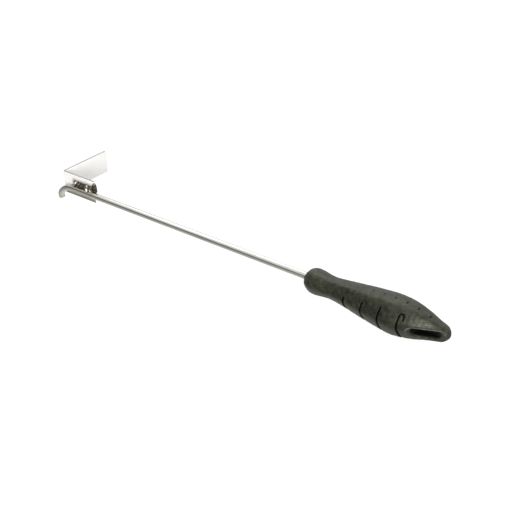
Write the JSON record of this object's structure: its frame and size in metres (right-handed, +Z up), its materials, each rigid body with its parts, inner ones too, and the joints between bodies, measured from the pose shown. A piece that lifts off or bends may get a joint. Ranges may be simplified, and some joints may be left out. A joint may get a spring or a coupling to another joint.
{
  "type": "hive tool",
  "caption": "Long hive floor scraper: a bent steel plate welded to a round bar with a hooked end, in a moulded handle with a hanging hole.",
  "frame": {"origin": "centre of the footprint, at the level of the belly of the handle, which is the lowest point", "axes": "+X along the bar from the blade to the handle, +Y the way the blade stands out from the bar, +Z up, across the height of the blade"},
  "size_m": [0.4078, 0.0732, 0.0312],
  "materials": {
    "plate_steel": "cold-rolled stainless sheet, bright, with a faint rolling grain",
    "bar_steel": "bright drawn stainless bar, smooth, with fine drawing lines",
    "weld_metal": "as welded, rippled, with brown heat tint",
    "handle_plastic": "moulded black plastic, satin, with a fine spark-eroded grain"
  },
  "bodies": {
    "root": {"scraper_blade": "plate_steel", "bar": "bar_steel", "weld_bead": "weld_metal", "end_weld": "weld_metal", "handle": "handle_plastic"}
  },
  "joints": []
}
